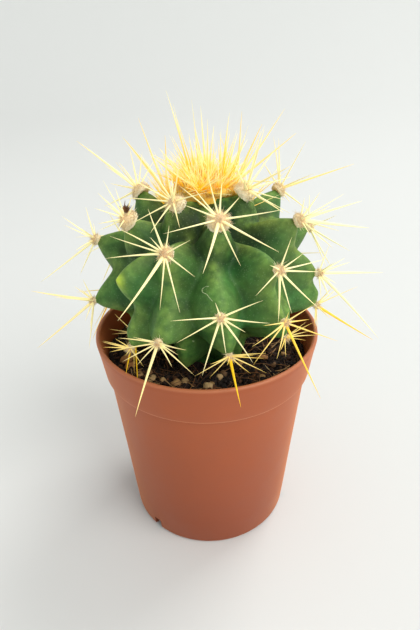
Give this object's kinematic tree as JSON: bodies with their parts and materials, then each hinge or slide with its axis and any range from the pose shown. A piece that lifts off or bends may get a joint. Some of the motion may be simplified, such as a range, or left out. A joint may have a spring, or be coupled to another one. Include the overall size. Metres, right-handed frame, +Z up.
{
  "type": "potted round cactus",
  "caption": "Young round cactus with knobbly ribs and long pale yellow spines, growing in a small terracotta-coloured plastic nursery pot with a deep rim band.",
  "frame": {"origin": "centre of the pot's flat underside", "axes": "+Z up along the pot's axis; -Y is the side that the picture shows; +X is to the right there"},
  "size_m": [0.0974, 0.0805, 0.1288],
  "materials": {
    "pot_plastic": "moulded terracotta-coloured polypropylene, satin to matte",
    "potting_mix": "loose dark peat with fibres, bark and pale grit",
    "flesh": "waxy green succulent skin, lighter on the ribs, satin",
    "spines": "pale straw-yellow horny spines, satin, golden towards some tips",
    "young_spines": "golden young spines over tan wool, satin"
  },
  "bodies": {
    "root": {"pot": "pot_plastic", "potting_mix": "potting_mix", "cactus_body": "flesh", "crown": "young_spines", "areole_09": "spines", "areole_10": "spines", "areole_11": "spines", "areole_12": "spines", "areole_13": "spines", "areole_14": "spines", "areole_15": "spines", "areole_16": "spines", "areole_17": "spines", "areole_18": "spines", "areole_19": "spines", "areole_20": "spines", "areole_21": "spines", "areole_23": "spines", "areole_24": "spines", "areole_25": "spines", "areole_26": "spines", "areole_27": "spines", "areole_28": "spines", "areole_29": "spines", "areole_30": "spines", "areole_31": "spines", "areole_32": "spines", "areole_33": "spines", "areole_34": "spines", "areole_35": "spines", "areole_36": "spines", "areole_37": "spines", "areole_38": "spines", "areole_39": "spines", "areole_40": "spines", "areole_41": "spines"}
  },
  "joints": []
}
